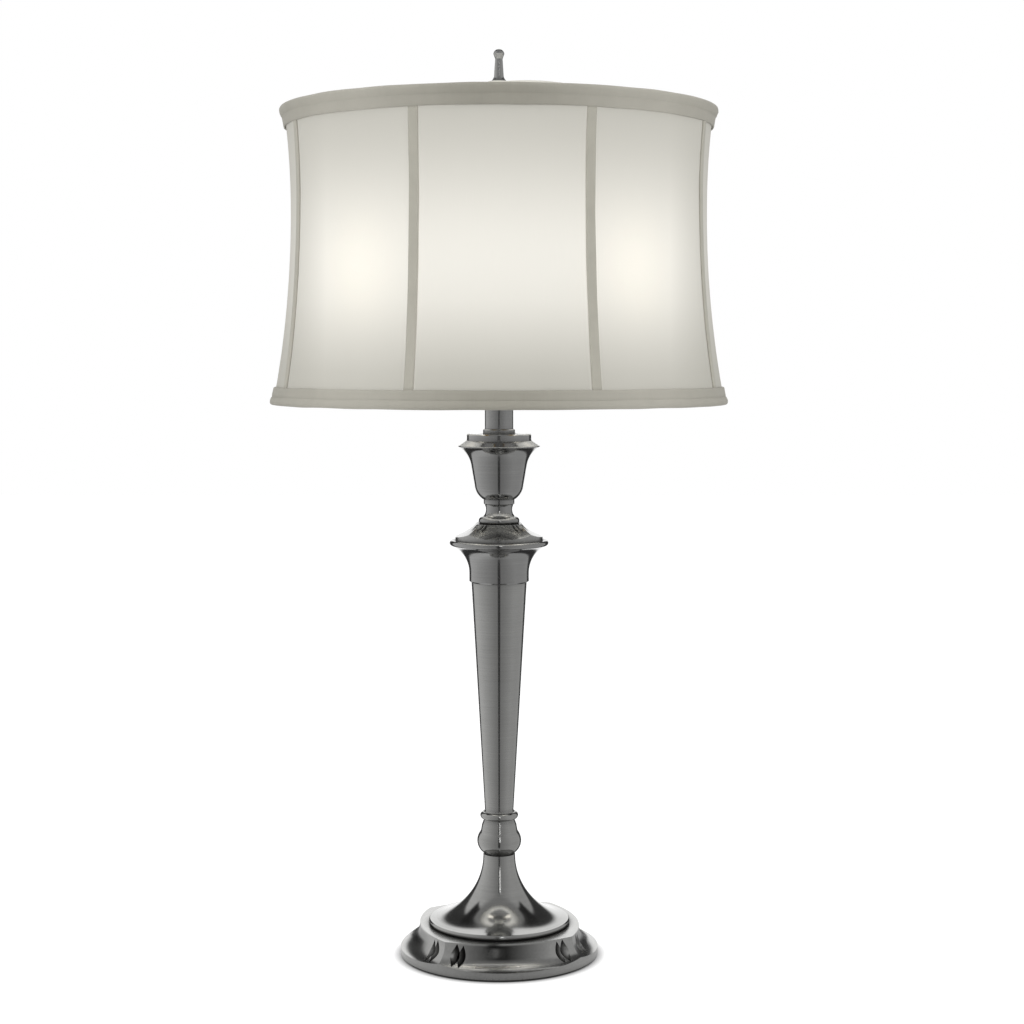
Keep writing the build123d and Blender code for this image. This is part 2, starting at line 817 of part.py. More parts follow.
def trim(edge_z, height, side):
    """Folded band over an end of the cover; side is +1 at the top and -1 at the bottom."""
    inner_z = edge_z - side * height
    near = edge_z - side * trim_roll * 2.5
    room = 0.05
    foot = cover_radius(inner_z)
    over = cover_radius(edge_z - side * trim_roll)
    top = edge_z - side * trim_roll
    face = outline(
        Polyline((foot + room, inner_z), (foot + trim_edge_t, inner_z), (cover_radius(near) + trim_t, near)),
        ThreePointArc(
            (cover_radius(near) + trim_t, near),
            (over + trim_t / 2, edge_z),
            (over - cover_t - room, edge_z - side * 0.2),
        ),
        Polyline((over - cover_t - room, edge_z - side * 0.2), (over - cover_t - room, top + side * room)),
        Polyline((over - cover_t - room, top + side * room), (over + room, top + side * room)),
    )
    return spin(face)


def top_trim():
    return trim(shade_top_z, trim_h, 1)


def bottom_trim():
    return trim(shade_z, bottom_trim_h, -1)


# ---- finial ----


def finial_foot():
    """Flared foot that screws down the rod."""
    z = finial_z
    top = z + finial_flare_h
    hole = rod_r + run
    face = outline(
        Polyline((hole, z), (finial_foot_r, z), (finial_foot_r, z + finial_foot_h)),
        RadiusArc((finial_foot_r, z + finial_foot_h), (finial_shaft_r, top), finial_flare_r),
        Line((finial_shaft_r, top), (hole, top)),
    )
    return spin(face)


def finial():
    """Tapered shaft and ball, which stand on the foot."""
    z = finial_z
    top = z + finial_flare_h
    dome_h = finial_h - finial_ball
    dome_r = (finial_ball_r**2 + dome_h**2) / (2 * dome_h)
    face = outline(
        Polyline((0, top), (finial_shaft_r, top), (finial_neck_r, z + finial_neck), (finial_ball_r, z + finial_ball)),
        RadiusArc((finial_ball_r, z + finial_ball), (0, z + finial_h), -dome_r),
    )
    return spin(face)


nodes = {
    "felt_pad": felt_pad(),
    "foot_casting": foot_casting(),
    "foot_weight": foot_weight(),
    "cord_bushing": cord_bushing(),
    "pipe_washer": pipe_washer(),
    "pipe_nut": pipe_nut(),
    "lamp_pipe": lamp_pipe(),
    "bell": bell(),
    "neck_ball": neck_ball(),
    "bead_ring": bead_ring(),
    "column": column(),
    "capital": capital(),
    "knop_plate": knop_plate(),
    "cup_neck": cup_neck(),
    "candle_cup": candle_cup(),
    "cup_cap": cup_cap(),
    "candle_tube": candle_tube(),
    "tube_ring": tube_ring(),
    "tube_top": tube_top(),
    "cluster_body": cluster_body(),
    "riser_rod": riser_rod(),
    "shade_rest": shade_rest(),
    "hub_washer": hub_washer(),
    "shade_hub": shade_hub(),
    "shade_spider": shade_spider(),
    "shade_top_hoop": shade_top_hoop(),
    "shade_bottom_hoop": shade_bottom_hoop(),
    "shade_ribs": shade_ribs(),
    "shade_cover": shade_cover(),
    "shade_liner": shade_liner(),
    "top_trim": top_trim(),
    "bottom_trim": bottom_trim(),
    "rib_tapes": rib_tapes(),
    "finial_foot": finial_foot(),
    "finial": finial(),
}
sided = {
    "socket_cap": socket_cap,
    "socket_core": socket_core,
    "socket_screw_shell": socket_screw_shell,
    "socket_liner": socket_liner,
    "socket_shell": socket_shell,
    "chain_guide": chain_guide,
    "pull_chain": pull_chain,
    "bulb_base": bulb_base,
    "bulb_glass": bulb_glass,
}
for name, make in sided.items():
    for word, side in (("left", -1), ("right", 1)):
        nodes[f"{name}_{word}"] = make(side)

os.makedirs("parts", exist_ok=True)
for name, solid in nodes.items():
    export_step(solid, f"parts/{name}.step")
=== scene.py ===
import math
import random

import bpy
import numpy as np
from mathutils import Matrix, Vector, noise

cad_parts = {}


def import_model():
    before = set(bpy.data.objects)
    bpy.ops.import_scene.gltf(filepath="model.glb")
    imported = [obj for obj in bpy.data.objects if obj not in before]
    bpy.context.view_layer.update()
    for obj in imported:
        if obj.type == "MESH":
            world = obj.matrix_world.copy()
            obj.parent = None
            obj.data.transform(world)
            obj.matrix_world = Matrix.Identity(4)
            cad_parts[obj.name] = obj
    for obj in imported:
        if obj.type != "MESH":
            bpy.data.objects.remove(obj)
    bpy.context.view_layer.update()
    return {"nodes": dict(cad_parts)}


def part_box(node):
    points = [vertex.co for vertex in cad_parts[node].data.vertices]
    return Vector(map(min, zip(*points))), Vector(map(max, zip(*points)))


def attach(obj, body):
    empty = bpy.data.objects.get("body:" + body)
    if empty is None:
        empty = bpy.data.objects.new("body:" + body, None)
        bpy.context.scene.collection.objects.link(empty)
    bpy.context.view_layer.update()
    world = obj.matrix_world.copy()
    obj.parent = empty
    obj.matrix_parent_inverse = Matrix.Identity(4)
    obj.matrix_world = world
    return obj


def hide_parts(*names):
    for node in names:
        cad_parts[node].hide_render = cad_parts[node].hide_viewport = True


# Candlestick lamp with two lit bulbs in a panelled shade. Metres, +Z up, the front towards -Y.
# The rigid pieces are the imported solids; the shade's cloth and the pull chains are made here.

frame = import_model()
nodes = frame["nodes"]
scene = bpy.context.scene
rng = random.Random(7)

# ---- the photograph's view ----
CAMERA_PLACE = (0.0116, -1.8356, 0.5461)
CAMERA_DROP = 4.435  # degrees below level
CAMERA_LENS = 72.07
SENSOR_WIDTH = 36.0

# ---- studio, as the metal sees it ----
FRONT_GAP = 5.0  # half width of the dark gap between the side lights, in degrees
FRONT_TONE = 0.37  # beside the gap
LEFT_TONE = 0.80
RIGHT_TONE = 0.56
BACK_TONE = 1.3

GAP_TONE = 0.04  # of the gap on the table
WORLD_GAP_TONE = 0.07  # and above it
EDGE_TONE = 0.06  # between the sides and the white behind, which draws the metal's dark edges
OVERHEAD_TONE = 0.34
BAND_TONE = 0.03  # of a dark band high up behind each side
STRIP_TONE = 3.2  # of the narrow light that draws a line down the metal
GAP_SOFT = 2.5
FILL = 0.55  # strength of the even light from all round

# ---- floor ----
FLOOR_SIZE = 6.0
FLOOR_BOUNCE = 0.8  # grey that lights the lamp from below
FLOOR_SHOWN = 0.35  # grey that the camera sees, under the glow that makes it white
FLOOR_GLOW = 0.93
SHADOW_REACH = 0.0095
SHADOW_POWER = 1.8

# ---- foot ----
COVE_TURN = math.radians(90 - 3)  # brings the middle of the painted dark reflection in a cove to zero
COVE_LOW = (0.0125, 0.0165)  # heights between which the painted dark reflection comes in
COVE_HIGH = (0.0268, 0.0282)

# ---- shade: its make ----
PANELS = 8
SHADE_TURN = math.radians(1.3)
WIDEST = 0.2013  # radius of the cover
PANEL_WIDTH = 2 * math.pi / PANELS * WIDEST  # of a flat cut
PANEL_FLAT = 0.0022  # how far the stretched cloth cuts inside the round, half way between two ribs
LINING_FLAT = 0.0016
CLOTH_THICK = 0.0005
THIN_CLOTH = 0.0004
SKIN = 0.0001  # between the panels and the round that they lie on, and under the tapes
TAPE_WIDTH = 0.0088
TAPE_THICK = 0.0009
TAPE_CLOTH = 0.0006
TAPE_CUT = 0.0118  # flat width, with the edges that are turned under
TAPE_FOLD = 0.00018  # how far the turned-in edges stand out
TRIM_LAP = 0.001  # how far the tapes run under the trims
TRIM_WEAVE = 0.03  # width of weave on the folded strips
# how finely each cloth is divided, along and across
PANEL_ROWS, PANEL_STEPS = 44, 20
LINING_ROWS, LINING_STEPS = 30, 12
TAPE_ROWS, TAPE_STEPS = 60, 12
TRIM_STEPS = 240

# ---- pull chains ----
PULL_LENGTH = 0.0125
CHAIN_BALL = 0.00145  # radii
CHAIN_WIRE = 0.00035
CHAIN_PITCH = 0.0036
BALL_STEPS = 8

# ---- shade: its painted light ----
POOL_X = 0.1136  # where each bulb's light is strongest on the cloth
POOL_Y = 0.147
POOL_Z = 0.6145
POOL_SIZE = 0.038
POOL_SHAPE = (1.15, 0.85, 0.78)
BAND_Z = POOL_Z + 0.009  # middle of the broad band of light round the shade
BAND_HALF = 0.086
BAND_SIDES = (0.143, 0.19)  # distances aside between which the band fades
FALL_HEIGHTS = (0.530, 0.588)  # the light falls off below, most of all in the middle
FALL_SIDES = (0.04, 0.11)
SLIP = (0.0046, 0.0066)  # from a panel's edge, where light slips past the tapes
TRIM_NEAR = (0.02, 0.11)  # distances aside between which the bulbs' light comes into the trims
TRIM_FAR = (0.14, 0.2)  # and goes again


# ---------------------------------------------------------------- node helpers


class Tree:
    """A node tree, and short ways to add to it."""

    def __init__(self, owner, empty=False):
        owner.use_nodes = True
        self.tree = owner.node_tree
        if empty:
            self.tree.nodes.clear()

    def feed(self, socket, value):
        """Link another node's output to a socket, or set the socket."""
        if isinstance(value, bpy.types.NodeSocket):
            self.tree.links.new(value, socket)
        else:
            socket.default_value = value

    def add(self, kind, inputs=None, **settings):
        node = self.tree.nodes.new("ShaderNode" + kind)
        for name, value in settings.items():
            setattr(node, name, value)
        for name, value in (inputs or {}).items():
            self.feed(node.inputs[name], value)
        return node

    def math(self, operation, a, b=0.0, c=0.0, clamp=False):
        return self.add("Math", {0: a, 1: b, 2: c}, operation=operation, use_clamp=clamp).outputs[0]

    def vector(self, operation, a, b=(0.0, 0.0, 0.0)):
        return self.add("VectorMath", {0: a, 1: b}, operation=operation).outputs

    def parts(self, vector):
        return self.add("SeparateXYZ", {0: vector}).outputs

    def position(self):
        return self.add("NewGeometry").outputs["Position"]

    def span(self, value, low, high, to_low=0.0, to_high=1.0, **settings):
        """Map a value's range onto another, held at the ends."""
        inputs = {"Value": value, "From Min": low, "From Max": high, "To Min": to_low, "To Max": to_high}
        return self.add("MapRange", inputs, **settings).outputs["Result"]

    def gauss(self, value):
        """1 at 0, falling as a bell curve on both sides."""
        return self.math("EXPONENT", self.math("MULTIPLY", self.math("POWER", value, 2.0), -1.0))

    def window(self, value, low, high, soft):
        """1 between two limits, falling softly to 0 outside them."""
        rise = self.span(value, low - soft, low + soft, interpolation_type="SMOOTHSTEP")
        fall = self.span(value, high + soft, high - soft, interpolation_type="SMOOTHSTEP")
        return self.math("MULTIPLY", rise, fall)

    def blend(self, factor, a, b):
        """a where the factor is 0, b where it is 1."""
        return self.math("MULTIPLY_ADD", factor, self.math("SUBTRACT", b, a), a)

    def mix(self, factor, a, b, blend="MIX"):
        """The same for two colours."""
        node = self.add("Mix", data_type="RGBA", blend_type=blend)
        for index, value in ((0, factor), (6, a), (7, b)):
            self.feed(node.inputs[index], value)
        return node.outputs[2]

    def grey(self, value):
        return self.add("CombineColor", {0: value, 1: value, 2: value}).outputs[0]

    def round_about(self, vector):
        """Degrees round from the front, 0 to 180 either way and signed, and degrees of height."""
        axis = self.parts(vector)
        turn = self.math("ARCTAN2", axis["X"], self.math("MULTIPLY", axis["Y"], -1.0))
        signed = self.math("MULTIPLY", turn, 180 / math.pi)
        level = self.math("MULTIPLY", self.math("ARCSINE", axis["Z"]), 180 / math.pi)
        return self.math("ABSOLUTE", signed), signed, level


class Shader(Tree):
    """A material with one Principled shader."""

    def __init__(self, name):
        self.material = bpy.data.materials.new(name)
        super().__init__(self.material)
        self.main = self.tree.nodes["Principled BSDF"]

    def set(self, **values):
        for name, value in values.items():
            self.main.inputs[name.replace("_", " ")].default_value = value

    def link(self, output, name):
        self.tree.links.new(output, self.main.inputs[name])

    def place(self, scale=1):
        """Object coordinates, stretched."""
        where = self.add("TexCoord").outputs["Object"]
        scale = scale if isinstance(scale, tuple) else (scale, scale, scale)
        return self.add("Mapping", {"Vector": where, "Scale": scale}).outputs["Vector"]

    def noise(self, vector, detail=3.0, roughness=0.5):
        inputs = {"Vector": vector, "Scale": 1.0, "Detail": detail, "Roughness": roughness}
        return self.add("TexNoise", inputs).outputs["Fac"]

    def bump(self, height, strength, distance):
        inputs = {"Height": height, "Strength": strength, "Distance": distance}
        return self.add("Bump", inputs).outputs["Normal"]


def rgb(red, green, blue):
    """Colour from the 0-255 values that the eye reads."""

    def linear(value):
        value /= 255
        return value / 12.92 if value <= 0.04045 else ((value + 0.055) / 1.055) ** 2.4

    return (linear(red), linear(green), linear(blue), 1.0)


def dimmed(colour, share):
    return [share * value for value in colour[:3]] + [1.0]


# ---------------------------------------------------------------- materials


def cove_reflection_mask(s):
    """Painted dark reflection in the middle of each of the foot's four coves, 0 to 1."""
    axis = s.parts(s.place())
    turn = s.math("ARCTAN2", axis["Y"], axis["X"])
    quarter = s.math("PINGPONG", s.math("ADD", turn, COVE_TURN), math.pi / 4)
    middle = s.span(quarter, 0.04, 0.60, 1.0, 0.0)
    low = s.span(axis["Z"], *COVE_LOW)
    high = s.span(axis["Z"], *COVE_HIGH, 1.0, 0.0)
    return s.math("MULTIPLY", middle, s.math("MULTIPLY", low, high), clamp=True)


def pewter(name, turned=True, rough=0.09, light=(180, 180, 178), dark=(38, 38, 37), painted_cove_reflection=False):
    """Antique pewter: turned metal with fine rings, dull patches, dark patina with painted shade in the
    grooves and between parts, and on the foot a painted dark reflection in the coves.
    """
    s = Shader(name)
    s.set(Metallic=1.0)
    cloud = s.noise(s.place(26), 5.0, 0.6)
    rings = s.noise(s.place((16, 16, 1500) if turned else 420), 3.0, 0.65)
    fine = s.noise(s.place(1300), 2.0, 0.7)
    # painted shade: darker where the surface is hemmed in, in grooves and between parts, with patina there
    # too
    shelter = s.add("AmbientOcclusion", {"Distance": 0.006}, samples=8).outputs["AO"]
    patina_and_shade = s.span(shelter, 0.35, 0.95, 1.0, 0.0)
    patina_and_shade = s.math("MULTIPLY", patina_and_shade, s.span(cloud, 0.25, 0.7, 0.75, 1.0), clamp=True)
    worn = s.math("ADD", s.span(rings, 0.3, 0.7, 0.0, 0.34), s.span(fine, 0.25, 0.75, 0.0, 0.36))
    worn = s.math("ADD", worn, s.span(cloud, 0.3, 0.7, 0.0, 0.3), clamp=True)
    tone = s.mix(worn, dimmed(rgb(*light), 0.72), rgb(*light))
    tone = s.mix(s.math("MULTIPLY", patina_and_shade, 0.92), tone, rgb(*dark))
    # on the foot, a painted dark reflection in the middle of each cove
    if painted_cove_reflection:
        tone = s.mix(s.math("MULTIPLY", cove_reflection_mask(s), 0.95), tone, rgb(*dark))
    s.link(tone, "Base Color")
    dull = s.span(fine, 0.2, 0.8, rough, rough + 0.07)
    dull = s.math("ADD", dull, s.math("MULTIPLY", patina_and_shade, 0.3))
    s.link(s.math("ADD", dull, s.span(cloud, 0.45, 0.75, 0.0, 0.05)), "Roughness")
    height = s.math("ADD", s.math("MULTIPLY", rings, 0.7), s.math("MULTIPLY", fine, 0.3))
    s.link(s.bump(height, 0.13 if turned else 0.10, 0.00012), "Normal")
    return s.material


def plated(name, colour, roughness=0.3, line=900):
    """Plated or spun thin metal with a fine drawn grain."""
    s = Shader(name)
    s.set(Metallic=1.0)
    cloud = s.noise(s.place(60), 4.0, 0.6)
    grain = s.noise(s.place((line, line, 40)), 2.0)
    s.link(s.mix(s.span(cloud, 0.3, 0.7), colour, dimmed(colour, 0.82)), "Base Color")
    s.link(s.span(cloud, 0.2, 0.8, roughness - 0.08, roughness + 0.1), "Roughness")
    s.link(s.bump(grain, 0.2, 0.0001), "Normal")
    return s.material


def moulded(name, colour, roughness=0.35, speck=700):
    """Moulded or enamelled surface with a faint orange-peel skin."""
    s = Shader(name)
    cloud = s.noise(s.place(35), 3.0)
    skin = s.noise(s.place(speck), 2.0)
    s.link(s.mix(s.span(cloud, 0.3, 0.7), colour, dimmed(colour, 0.88)), "Base Color")
    s.link(s.span(cloud, 0.2, 0.8, roughness - 0.06, roughness + 0.1), "Roughness")
    s.link(s.bump(skin, 0.25, 0.0002), "Normal")
    return s.material


def felt():
    s = Shader("felt_pressed")
    s.set(Roughness=0.95, Sheen_Weight=0.5, Sheen_Roughness=0.5)
    fuzz = s.noise(s.place(900), 6.0, 0.75)
    s.link(s.mix(s.span(fuzz, 0.3, 0.7), rgb(34, 34, 33), rgb(58, 58, 56)), "Base Color")
    s.link(s.bump(fuzz, 0.8, 0.0006), "Normal")
    return s.material


def cast_iron():
    s = Shader("iron_sand_cast")
    s.set(Metallic=0.6)
    sand = s.noise(s.place(600), 6.0, 0.7)
    s.link(s.mix(s.span(sand, 0.3, 0.7), rgb(52, 50, 48), rgb(84, 80, 76)), "Base Color")
    s.link(s.span(sand, 0.2, 0.8, 0.6, 0.85), "Roughness")
    s.link(s.bump(sand, 0.7, 0.0008), "Normal")
    return s.material


def card_tube():
    s = Shader("card_pressed")
    s.set(Roughness=0.8)
    fibre = s.noise(s.place((300, 1400, 1400)), 4.0, 0.7)
    s.link(s.mix(s.span(fibre, 0.3, 0.7), rgb(170, 136, 96), rgb(136, 104, 70)), "Base Color")
    s.link(s.bump(fibre, 0.4, 0.0003), "Normal")
    return s.material


def frosted_bulb():
    """Bulb glass, frosted inside and lit."""
    s = Shader("glass_frosted_lit")
    s.set(Roughness=0.25, Coat_Weight=0.5, Emission_Strength=1.7, Emission_Color=rgb(255, 249, 238))
    frost = s.noise(s.place(500), 3.0)
    s.link(s.mix(s.span(frost, 0.3, 0.7), rgb(250, 248, 242), rgb(240, 237, 228)), "Base Color")
    s.link(s.bump(frost, 0.1, 0.0001), "Normal")
    return s.material


def weave(s, threads, strength):
    """Plain weave across the cloth's own lengths, in metres, with slubs along the warp."""
    uv = s.add("UVMap", uv_map="cut").outputs["UV"]
    warp_at = s.add("Mapping", {"Vector": uv, "Scale": (threads, threads * 0.02, 1)}).outputs["Vector"]
    weft_at = s.add("Mapping", {"Vector": uv, "Scale": (threads * 0.03, threads, 1)}).outputs["Vector"]
    warp = s.noise(warp_at, 2.0, 0.6)
    weft = s.noise(weft_at, 2.0, 0.6)
    height = s.math("ADD", warp, weft)
    return s.bump(height, strength, 0.0002), warp


def glow_at_panels(s):
    """Painted light of the two bulbs on the cloth: a warm pool beside each bulb and a band all round."""
    folded = s.vector("ABSOLUTE", s.position())[0]
    spot = s.vector("SUBTRACT", folded, (POOL_X, POOL_Y, POOL_Z))[0]
    squeezed = s.vector("MULTIPLY", spot, POOL_SHAPE)[0]
    far = s.vector("LENGTH", squeezed)["Value"]
    pool = s.gauss(s.math("DIVIDE", far, POOL_SIZE))
    axis = s.parts(folded)
    aside, height = axis["X"], axis["Z"]
    level = s.math("DIVIDE", s.math("SUBTRACT", height, BAND_Z), BAND_HALF)
    band = s.gauss(s.math("ABSOLUTE", level))
    band = s.math("MULTIPLY", band, s.span(aside, *BAND_SIDES, 1.0, 0.0))
    fall = s.math("MULTIPLY", s.span(height, *FALL_HEIGHTS, 0.27, 0.0), s.span(aside, *FALL_SIDES, 1.0, 0.55))
    return pool, s.math("SUBTRACT", band, fall)


def shade_cloth(name, colour, tint, base, band_light, pool_light, edge_light=0.0):
    """Stretched translucent cloth: woven, slightly slubbed, with the bulbs' light from behind painted on as
    emission.
    """
    s = Shader(name)
    s.set(Roughness=0.85, Sheen_Weight=0.15, Sheen_Roughness=0.4, Specular_IOR_Level=0.2)
    normal, warp = weave(s, 1900, 0.12)
    cloud = s.noise(s.place((9, 9, 3)), 3.0, 0.6)
    streak = s.math("ADD", s.span(warp, 0.3, 0.7, -0.012, 0.012), s.span(cloud, 0.3, 0.7, -0.012, 0.012))
    s.link(s.mix(s.math("ADD", streak, 0.5), dimmed(colour, 0.96), colour), "Base Color")
    pool, band = glow_at_panels(s)
    light = s.math("ADD", s.math("MULTIPLY", pool, pool_light), s.math("MULTIPLY", band, band_light))
    light = s.math("ADD", light, base)
    if edge_light:
        # painted light past the edges of the tapes sewn over the ribs
        across = s.parts(s.add("UVMap", uv_map="cut").outputs["UV"])["X"]
        aside = s.math("MINIMUM", across, s.math("SUBTRACT", PANEL_WIDTH, across))
        light = s.math("ADD", light, s.span(aside, *SLIP, edge_light, 0.0))
    light = s.math("MULTIPLY", light, s.math("ADD", streak, 1.0))
    tint = s.mix(pool, tint, rgb(255, 250, 240))
    s.link(s.mix(1.0, tint, s.grey(light), "MULTIPLY"), "Emission Color")
    s.set(Emission_Strength=1.0)
    s.link(normal, "Normal")
    return s.material


def trim_cloth(name, colour, bulb_light):
    """The same cloth folded double, with only a little painted light beside the bulbs."""
    s = Shader(name)
    s.set(Roughness=0.88, Sheen_Weight=0.2, Sheen_Roughness=0.4, Specular_IOR_Level=0.2)
    normal, warp = weave(s, 1700, 0.3)
    cloud = s.noise(s.place(55), 4.0, 0.6)
    shade = s.math("ADD", s.span(warp, 0.3, 0.7, 0.0, 0.35), s.span(cloud, 0.3, 0.7, 0.0, 0.65), clamp=True)
    s.link(s.mix(shade, dimmed(colour, 0.9), colour), "Base Color")
    aside = s.math("ABSOLUTE", s.parts(s.position())["X"])
    light = s.math("MULTIPLY", s.span(aside, *TRIM_NEAR, 0.0, bulb_light), s.span(aside, *TRIM_FAR, 1.0, 0.2))
    s.link(s.mix(1.0, rgb(252, 249, 240), s.grey(light), "MULTIPLY"), "Emission Color")
    s.set(Emission_Strength=1.0)
    s.link(normal, "Normal")
    return s.material


# ---------------------------------------------------------------- mesh helpers


def grid_mesh(name, rows, close_across=False, uv_size=(1.0, 1.0)):
    """Object from a table of points, one row after another, with its cut lengths as UVs in metres."""
    count, across = len(rows), len(rows[0])
    points = [point for row in rows for point in row]
    last = across if close_across else across - 1
    faces = []
    for i in range(count - 1):
        for j in range(last):
            k = (j + 1) % across
            faces.append((i * across + j, i * across + k, (i + 1) * across + k, (i + 1) * across + j))
    mesh = bpy.data.meshes.new(name)
    mesh.from_pydata(points, [], faces)
    layer = mesh.uv_layers.new(name="cut")
    for face in mesh.polygons:
        for corner, loop in enumerate(face.loop_indices):
            step, line = face.index % last, face.index // last
            u = (step + (1 if corner in (1, 2) else 0)) / last * uv_size[0]
            v = (line + (1 if corner in (2, 3) else 0)) / (count - 1) * uv_size[1]
            layer.data[loop].uv = (u, v)
    for face in mesh.polygons:
        face.use_smooth = True
    piece = bpy.data.objects.new(name, mesh)
    scene.collection.objects.link(piece)
    return piece


def thicken(piece, thick, offset=-1.0):
    """Give a sheet its thickness, inwards from its points at -1."""
    solidify = piece.modifiers.new("cloth", "SOLIDIFY")
    solidify.thickness = thick
    solidify.offset = offset
    solidify.use_even_offset = True


def finish_piece(piece, material, body, replaced):
    piece.data.materials.append(material)
    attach(piece, body)
    if replaced:
        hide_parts(*replaced)


# ---------------------------------------------------------------- shade


def outer_line(node):
    """Heights and largest radii of a turned node, from its own corners."""
    corners = np.array([v.co for v in nodes[node].data.vertices])
    radius = np.hypot(corners[:, 0], corners[:, 1])
    height = np.round(corners[:, 2], 4)
    levels = np.unique(height)
    return levels, np.array([radius[height == level].max() for level in levels])


cover_heights, cover_radii = outer_line("shade_cover")


def cover_radius(z):
    return float(np.interp(z, cover_heights, cover_radii))


def rib_angle(step):
    return -math.pi / 2 + SHADE_TURN + 2 * math.pi / PANELS * (step + 0.5)


def around(radius, angle, z):
    return (radius * math.cos(angle), radius * math.sin(angle), z)


def slack(share):
    """0 on the ribs and 1 half way between them."""
    return 1 - (2 * share - 1) ** 2


def panel_radius(share, level, z):
    """Radius of the stretched cloth: on the ribs at its sides, flatter between them away from the wires."""
    pull = PANEL_FLAT * slack(share) * math.sin(math.pi * level) ** 0.6
    return cover_radius(z) - pull


def shade_panels(material):
    """One cut of cloth between each pair of ribs."""
    low, high = float(cover_heights[0]), float(cover_heights[-1])
    for step in range(PANELS):
        rows = []
        for i in range(PANEL_ROWS + 1):
            level = i / PANEL_ROWS
            z = low + (high - low) * level
            row = []
            for j in range(PANEL_STEPS + 1):
                share = j / PANEL_STEPS
                angle = rib_angle(step) + 2 * math.pi / PANELS * share
                ripple = 0.00012 * noise.noise(Vector((angle * 9, z * 14, step)))
                row.append(around(panel_radius(share, level, z) - SKIN + ripple, angle, z))
            rows.append(row)
        panel = grid_mesh(f"shade_panel_{step + 1}", rows, uv_size=(PANEL_WIDTH, high - low))
        thicken(panel, CLOTH_THICK)
        finish_piece(panel, material, "shade", ["shade_cover"] if step == 0 else [])


def shade_lining(material):
    low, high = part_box("shade_liner")
    rows = []
    heights, radii = outer_line("shade_liner")
    around_count = PANELS * LINING_STEPS
    for i in range(LINING_ROWS + 1):
        level = i / LINING_ROWS
        z = low.z + (high.z - low.z) * level
        radius = float(np.interp(z, heights, radii))
        row = []
        for j in range(around_count):
            share = (j % LINING_STEPS) / LINING_STEPS
            pull = LINING_FLAT * slack(share) * math.sin(math.pi * level)
            row.append(around(radius - pull, rib_angle(0) + 2 * math.pi / around_count * j, z))
        rows.append(row)
    width = 2 * math.pi * float(radii.max())
    lining = grid_mesh("shade_lining", rows, True, (width, high.z - low.z))
    thicken(lining, THIN_CLOTH)
    finish_piece(lining, material, "shade", ["shade_liner"])


def rib_tape(step, material, low, high):
    """Strip with folded edges, sewn over the seam on a rib; no two lie quite alike."""
    rows = []
    lean = rng.uniform(-0.0006, 0.0006)
    for i in range(TAPE_ROWS + 1):
        level = i / TAPE_ROWS
        z = low + (high - low) * level
        drift = 0.0005 * noise.noise(Vector((step * 3.1, z * 18, 0.0))) + lean * math.sin(math.pi * level)
        width = TAPE_WIDTH * (1 + 0.05 * noise.noise(Vector((step * 5.7, z * 25, 4.0))))
        radius = cover_radius(z)
        row = []
        for j in range(TAPE_STEPS + 1):
            share = j / TAPE_STEPS * 2 - 1
            fold = TAPE_FOLD * math.exp(-((abs(share) - 0.82) / 0.1) ** 2)
            crown = TAPE_THICK * (1 - abs(share) ** 7) + fold
            angle = rib_angle(step) + (share * width / 2 + drift) / radius
            row.append(around(radius + SKIN + crown, angle, z))
        rows.append(row)
    tape = grid_mesh(f"rib_tape_{step + 1}", rows, uv_size=(TAPE_WIDTH, high - low))
    thicken(tape, TAPE_CLOTH)
    finish_piece(tape, material, "shade", ["rib_tapes"] if step == 0 else [])
    width, length = TAPE_CUT, (high - low) * 1.01


def trim_band(name, node, top, material):
    """Bias strip folded over the wire: a roll at the edge, a sewn fold below it and a turned-in edge."""
    low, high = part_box(node)
    edge = high.z if top else low.z
    inward = -1 if top else 1
    height = high.z - low.z
    # how far outside the cover, and how far in from the edge as a share of the height
    profile = [
        (0.0002, 1.00), (0.0011, 0.985), (0.0014, 0.95), (0.0015, 0.80), (0.0016, 0.62), (0.0017, 0.52),
        (0.0013, 0.475), (0.0020, 0.43), (0.0025, 0.36), (0.0028, 0.26), (0.0028, 0.17), (0.0024, 0.09),
        (0.0014, 0.03), (0.0002, 0.00), (-0.0010, 0.02), (-0.0019, 0.08), (-0.0021, 0.16), (-0.0021, 0.40),
    ]
    rows = []
    for out, down in profile:
        row = []
        z = edge + inward * height * down
        for j in range(TRIM_STEPS):
            angle = 2 * math.pi * j / TRIM_STEPS
            way = Vector((math.cos(angle) * 6, math.sin(angle) * 6, down * 2))
            swell = 1 + 0.10 * noise.noise(way * 1.7)
            fold = 0.00025 * noise.noise(Vector((math.cos(angle) * 30, math.sin(angle) * 30, down * 9)))
            spread = out * swell + (fold if out > 0.001 else 0.0)
            row.append(around(cover_radius(z) + spread, angle, z + 0.0004 * noise.noise(way)))
        rows.append(row)
    length = 2 * math.pi * cover_radius(edge)
    band = grid_mesh(name, rows, True, (length, TRIM_WEAVE))
    thicken(band, THIN_CLOTH, -1.0 if top else 1.0)
    finish_piece(band, material, "shade", [node])


def shade_cloths():
    panels = shade_cloth("cloth_panels", rgb(186, 184, 174), rgb(252, 249, 244),
                         base=0.10, band_light=0.372, pool_light=0.11, edge_light=0.09)
    lining = shade_cloth("cloth_lining", rgb(210, 210, 207), rgb(247, 247, 246),
                         base=0.25, band_light=0.42, pool_light=0.3)
    trims = trim_cloth("cloth_folded", rgb(166, 163, 152), bulb_light=0.11)
    tapes = trim_cloth("cloth_tape", rgb(188, 185, 173), bulb_light=0.02)
    shade_panels(panels)
    shade_lining(lining)
    low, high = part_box("rib_tapes")
    for step in range(PANELS):
        rib_tape(step, tapes, low.z - TRIM_LAP, high.z + TRIM_LAP)
    trim_band("trim_band_top", "top_trim", True, trims)
    trim_band("trim_band_bottom", "bottom_trim", False, trims)


